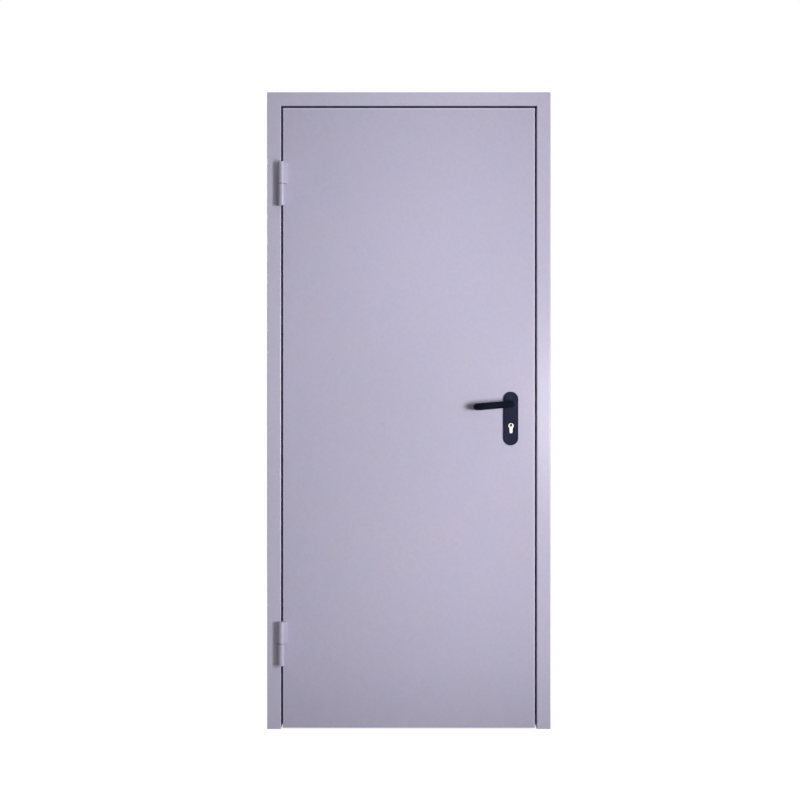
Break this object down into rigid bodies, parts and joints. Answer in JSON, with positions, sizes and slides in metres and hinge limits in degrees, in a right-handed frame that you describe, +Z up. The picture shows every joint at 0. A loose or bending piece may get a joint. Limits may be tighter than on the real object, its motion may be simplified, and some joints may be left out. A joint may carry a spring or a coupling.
{
  "type": "steel utility door",
  "caption": "Flush sheet-steel utility door in a folded frame, with lift-off hinges, a U-shaped lever on a long plate and a profile cylinder.",
  "frame": {"origin": "on the floor, in the middle of the sill's underside", "axes": "+X to the right seen from the side with the hinge barrels, +Y into the doorway, +Z up"},
  "size_m": [0.935, 0.179, 2.1],
  "materials": {
    "frame_paint": "satin powder coat",
    "leaf_paint": "satin powder coat",
    "hinge_paint": "satin powder coat",
    "hinge_steel": "turned",
    "galvanised": "dull galvanised",
    "stainless": "brushed",
    "seal_rubber": "matt",
    "core_paper": "raw",
    "black_plastic": "satin",
    "cylinder_metal": "nickel-plated satin",
    "plug_metal": "satin"
  },
  "bodies": {
    "frame": {"hinge_jamb": "frame_paint", "lock_jamb": "frame_paint", "head_rail": "frame_paint", "sill": "stainless", "hinge_side_seal": "seal_rubber", "lock_side_seal": "seal_rubber", "head_seal": "seal_rubber", "sill_seal": "seal_rubber", "strike_plate": "stainless", "strike_box": "galvanised", "hinge_jamb_bridge_1": "galvanised", "hinge_jamb_bridge_2": "galvanised", "hinge_jamb_bridge_3": "galvanised", "hinge_jamb_bridge_4": "galvanised", "lock_jamb_bridge_1": "galvanised", "lock_jamb_bridge_2": "galvanised", "lock_jamb_bridge_3": "galvanised", "lock_jamb_bridge_4": "galvanised", "upper_hinge_frame_half": "hinge_paint", "upper_hinge_pin": "hinge_steel", "upper_hinge_washer": "hinge_steel", "lower_hinge_frame_half": "hinge_paint", "lower_hinge_pin": "hinge_steel", "lower_hinge_washer": "hinge_steel"},
    "leaf": {"leaf_front_panel": "leaf_paint", "leaf_back_panel": "leaf_paint", "leaf_core": "core_paper", "upper_hinge_leaf_half": "hinge_paint", "lower_hinge_leaf_half": "hinge_paint", "upper_dog_bolt": "hinge_steel", "lower_dog_bolt": "hinge_steel", "lock_case": "galvanised", "lock_forend": "stainless", "latch_bolt": "hinge_steel", "dead_bolt": "hinge_steel", "cylinder_body": "cylinder_metal", "back_cylinder_plug": "plug_metal", "front_handle_plate": "black_plastic", "back_handle_plate": "black_plastic"},
    "lever": {"front_lever": "black_plastic", "back_lever": "black_plastic", "handle_spindle": "hinge_steel"},
    "plug": {"front_cylinder_plug": "plug_metal"}
  },
  "joints": [
    {"name": "leaf_hinge", "type": "hinge", "parent": "frame", "child": "leaf", "pos_m": [-0.419, -0.0895, 1.026], "axis": [0, 0, -1], "range_deg": [0, 170]},
    {"name": "lever_turn", "type": "hinge", "parent": "leaf", "child": "lever", "pos_m": [0.336, -0.0525, 1.072], "axis": [0, -1, 0], "range_deg": [0, 40], "stiffness_Nm_per_rad": 1.2, "springref_deg": -34.38},
    {"name": "plug_turn", "type": "hinge", "parent": "leaf", "child": "plug", "pos_m": [0.336, -0.071, 1], "axis": [0, 1, 0], "range_deg": [0, 360]}
  ]
}
